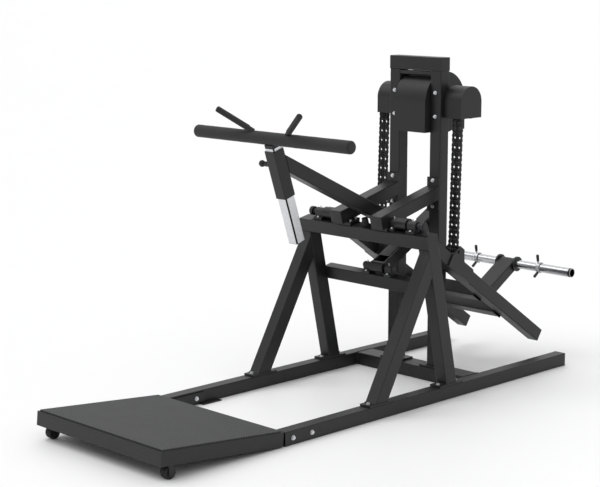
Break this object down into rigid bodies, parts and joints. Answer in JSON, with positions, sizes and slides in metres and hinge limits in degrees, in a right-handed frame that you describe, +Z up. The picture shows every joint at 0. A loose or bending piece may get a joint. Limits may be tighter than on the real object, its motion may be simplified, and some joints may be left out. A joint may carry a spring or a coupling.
{
  "type": "leg press machine",
  "caption": "Standing plate-loaded leg press: tilted foot platform, padded T-bar on a pivoting press arm, and a chain drive that lifts a weight lever.",
  "frame": {"origin": "middle of the footprint, on the floor", "axes": "+Z up, +Y from the foot platform towards the loading bar, X across the machine"},
  "size_m": [1.078, 3.0144, 1.725],
  "materials": {
    "frame_black": "satin powder coat",
    "mat_black": "ribbed grip mat",
    "rubber_black": "matte",
    "foam_black": "matte foam",
    "zinc": "zinc plated",
    "chrome": "polished",
    "chain_steel": "blackened and oiled",
    "bearing_black": "painted casting",
    "plastic_black": "fine texture",
    "guard_black": "satin powder coat"
  },
  "bodies": {
    "root": {"arm_bumper": "rubber_black", "base_crossmember": "frame_black", "brace_left": "frame_black", "brace_right": "frame_black", "centre_guard": "guard_black", "drive_bearings": "bearing_black", "end_caps": "plastic_black", "floor_tabs": "frame_black", "frame_bolts": "zinc", "frame_flanges": "frame_black", "front_leg_left": "frame_black", "front_leg_right": "frame_black", "lower_crossbar": "frame_black", "mast_head": "frame_black", "mast_post_left": "frame_black", "mast_post_right": "frame_black", "pivot_blocks": "bearing_black", "platform_frame": "frame_black", "platform_joint_plates": "frame_black", "platform_mat": "mat_black", "rail_left": "frame_black", "rail_right": "frame_black", "rear_leg_left": "frame_black", "rear_leg_right": "frame_black", "side_guard_left": "guard_black", "side_guard_right": "guard_black", "top_crossbar": "frame_black", "wheel_brackets": "frame_black"},
    "press_arm": {"post_sleeve": "frame_black", "tail_tube": "frame_black", "press_arm_tube": "frame_black", "press_hub": "frame_black", "press_shaft": "chain_steel", "tail_fork": "frame_black"},
    "tbar": {"adjust_post": "zinc", "tbar_core": "frame_black", "tbar_foam": "foam_black", "tbar_handles": "frame_black", "handle_grips": "foam_black"},
    "pull_pin": {"pop_pin": "plastic_black"},
    "drive": {"drive_shaft": "zinc", "centre_sprocket": "chain_steel", "side_sprocket_right": "chain_steel", "side_sprocket_left": "chain_steel", "chain_wraps": "chain_steel"},
    "lever": {"lever_arm_right": "frame_black", "lever_arm_left": "frame_black", "lever_stubs": "chain_steel", "chain_ears": "frame_black", "lever_beams": "frame_black", "bar_support": "frame_black", "loading_bar": "chrome", "loading_stops": "frame_black"},
    "side_chain_right_run": {"side_chain_right": "chain_steel"},
    "side_chain_left_run": {"side_chain_left": "chain_steel"},
    "centre_chain_run": {"centre_chain": "chain_steel"},
    "wheel_right_body": {"wheel_right": "rubber_black"},
    "wheel_left_body": {"wheel_left": "rubber_black"},
    "collar_right_body": {"spring_collar_right": "plastic_black"},
    "collar_left_body": {"spring_collar_left": "plastic_black"}
  },
  "joints": [
    {"name": "lever_lift", "type": "hinge", "parent": "root", "child": "lever", "pos_m": [0, 0.26663, 0.905], "axis": [1, 0, 0], "range_deg": [0, 22.67]},
    {"name": "arm_press", "type": "hinge", "parent": "root", "child": "press_arm", "pos_m": [0, 0.36663, 0.638], "axis": [-1, 0, 0], "range_deg": [0, 30]},
    {"name": "shaft_turn", "type": "hinge", "parent": "root", "child": "drive", "pos_m": [0, 0.74463, 1.48], "axis": [-1, 0, 0], "range_deg": [0, 156.13]},
    {"name": "side_chain_right_swing", "type": "hinge", "parent": "lever", "child": "side_chain_right_run", "pos_m": [0.257, 0.66063, 0.716], "axis": [-1, 0, 0], "range_deg": [0, 19.08], "deforming": ["side_chain_right"]},
    {"name": "side_chain_left_swing", "type": "hinge", "parent": "lever", "child": "side_chain_left_run", "pos_m": [-0.257, 0.66063, 0.716], "axis": [-1, 0, 0], "range_deg": [0, 19.08], "deforming": ["side_chain_left"]},
    {"name": "centre_chain_swing", "type": "hinge", "parent": "press_arm", "child": "centre_chain_run", "pos_m": [0, 0.82963, 0.889], "axis": [1, 0, 0], "range_deg": [0, 34.64], "deforming": ["centre_chain"]},
    {"name": "post_slide", "type": "slide", "parent": "press_arm", "child": "tbar", "axis": [0, -0.3173, 0.9483], "range_m": [0, 0.15]},
    {"name": "pin_pull", "type": "slide", "parent": "press_arm", "child": "pull_pin", "axis": [-1, 0, 0], "range_m": [0, 0.008], "stiffness_N_per_m": 300, "springref_m": -0.02},
    {"name": "collar_right_slide", "type": "slide", "parent": "lever", "child": "collar_right_body", "axis": [1, 0, 0], "range_m": [-0.12, 0.18]},
    {"name": "collar_left_slide", "type": "slide", "parent": "lever", "child": "collar_left_body", "axis": [-1, 0, 0], "range_m": [-0.12, 0.18]},
    {"name": "wheel_right_spin", "type": "hinge", "parent": "root", "child": "wheel_right_body", "pos_m": [0.42, -1.44037, 0.031], "axis": [1, 0, 0], "continuous": true},
    {"name": "wheel_left_spin", "type": "hinge", "parent": "root", "child": "wheel_left_body", "pos_m": [-0.42, -1.44037, 0.031], "axis": [1, 0, 0], "continuous": true}
  ],
  "couplings": [
    {"joint": "arm_press", "follows": "lever_lift", "ratio": 1.3234},
    {"joint": "shaft_turn", "follows": "lever_lift", "ratio": 6.8873},
    {"joint": "side_chain_right_swing", "follows": "lever_lift", "ratio": 0.84109},
    {"joint": "side_chain_left_swing", "follows": "lever_lift", "ratio": 0.84109},
    {"joint": "centre_chain_swing", "follows": "lever_lift", "ratio": 1.5277}
  ]
}
